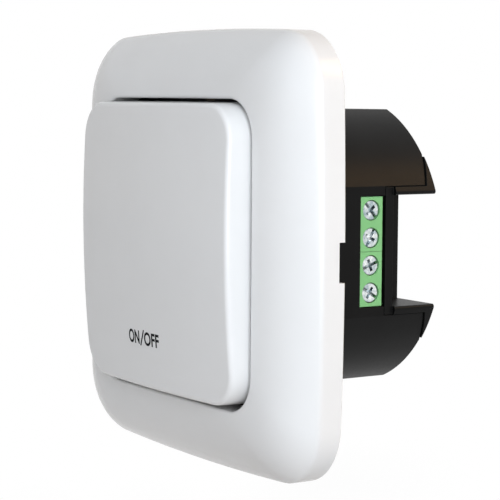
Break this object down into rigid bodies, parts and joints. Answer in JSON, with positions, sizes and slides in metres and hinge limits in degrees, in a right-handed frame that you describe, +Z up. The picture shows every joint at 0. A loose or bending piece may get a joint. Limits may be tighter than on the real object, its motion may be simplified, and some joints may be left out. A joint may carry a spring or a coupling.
{
  "type": "wireless remote wall switch",
  "caption": "Wall switch with a large crowned push key in a convex white frame, and a round black wall-box body with screw terminals, a relay and a radio module.",
  "frame": {"origin": "centre of the switch on the wall plane, where the flange rests on the wall", "axes": "+X right seen from the front, +Y into the wall, +Z up"},
  "size_m": [0.0812, 0.048, 0.0812],
  "materials": {
    "white": "glossy white moulding",
    "black": "satin black moulding",
    "terminal_green": "smooth green moulding",
    "zinc": "bright zinc plate",
    "cage_steel": "plated steel",
    "tinned": "tinned brass",
    "board_green": "solder mask",
    "switch_body": "matt black",
    "plunger": "matt black",
    "relay_case": "blue sealed case",
    "film_box": "yellow box",
    "can_sleeve": "dark sleeve",
    "varistor_coat": "blue coating",
    "fuse_case": "brown cap",
    "shield": "tin-plated can",
    "copper": "bare copper wire",
    "spring": "spring wire"
  },
  "bodies": {
    "base": {"frame": "white", "housing": "black", "rear_cover": "black", "terminal_block_upper": "terminal_green", "terminal_block_lower": "terminal_green", "contact_bar_1": "tinned", "contact_bar_2": "tinned", "contact_bar_3": "tinned", "contact_bar_4": "tinned", "control_board": "board_green", "board_screws": "zinc", "tact_switch": "switch_body", "relay": "relay_case", "film_capacitor": "film_box", "electrolytic_large": "can_sleeve", "electrolytic_small": "can_sleeve", "varistor": "varistor_coat", "fuse": "fuse_case", "module_header": "switch_body", "radio_board": "board_green", "radio_shield": "shield", "antenna_coil": "copper", "microcontroller": "switch_body", "rectifier": "switch_body", "return_spring_left": "spring", "return_spring_right": "spring"},
    "key": {"key": "white"},
    "plunger": {"tact_plunger": "plunger"},
    "screw_1": {"terminal_screw_1": "zinc"},
    "cage_1": {"clamp_cage_1": "cage_steel"},
    "screw_2": {"terminal_screw_2": "zinc"},
    "cage_2": {"clamp_cage_2": "cage_steel"},
    "screw_3": {"terminal_screw_3": "zinc"},
    "cage_3": {"clamp_cage_3": "cage_steel"},
    "screw_4": {"terminal_screw_4": "zinc"},
    "cage_4": {"clamp_cage_4": "cage_steel"}
  },
  "joints": [
    {"name": "key_press", "type": "hinge", "parent": "base", "child": "key", "pos_m": [0, -0.0086, 0.02], "axis": [1, 0, 0], "range_deg": [0, 1.2], "stiffness_Nm_per_rad": 2.4, "springref_deg": -0.72, "deforming": ["return_spring_left", "return_spring_right"]},
    {"name": "plunger_slide", "type": "slide", "parent": "base", "child": "plunger", "axis": [0, 1, 0], "range_m": [0, 0.00047]},
    {"name": "screw_1_turn", "type": "hinge", "parent": "base", "child": "screw_1", "pos_m": [0.02, 0.01685, 0.00762], "axis": [-1, 0, 0], "range_deg": [0, 1310]},
    {"name": "cage_1_rise", "type": "slide", "parent": "base", "child": "cage_1", "axis": [1, 0, 0], "range_m": [0, 0.0018]},
    {"name": "screw_2_turn", "type": "hinge", "parent": "base", "child": "screw_2", "pos_m": [0.02, 0.01685, 0.00254], "axis": [-1, 0, 0], "range_deg": [0, 1310]},
    {"name": "cage_2_rise", "type": "slide", "parent": "base", "child": "cage_2", "axis": [1, 0, 0], "range_m": [0, 0.0018]},
    {"name": "screw_3_turn", "type": "hinge", "parent": "base", "child": "screw_3", "pos_m": [0.02, 0.01685, -0.00254], "axis": [-1, 0, 0], "range_deg": [0, 1310]},
    {"name": "cage_3_rise", "type": "slide", "parent": "base", "child": "cage_3", "axis": [1, 0, 0], "range_m": [0, 0.0018]},
    {"name": "screw_4_turn", "type": "hinge", "parent": "base", "child": "screw_4", "pos_m": [0.02, 0.01685, -0.00762], "axis": [-1, 0, 0], "range_deg": [0, 1310]},
    {"name": "cage_4_rise", "type": "slide", "parent": "base", "child": "cage_4", "axis": [1, 0, 0], "range_m": [0, 0.0018]}
  ],
  "couplings": [
    {"joint": "plunger_slide", "follows": "key_press", "m_per_rad": 0.022},
    {"joint": "screw_1_turn", "follows": "cage_1_rise", "rad_per_m": 12566},
    {"joint": "screw_2_turn", "follows": "cage_2_rise", "rad_per_m": 12566},
    {"joint": "screw_3_turn", "follows": "cage_3_rise", "rad_per_m": 12566},
    {"joint": "screw_4_turn", "follows": "cage_4_rise", "rad_per_m": 12566}
  ]
}
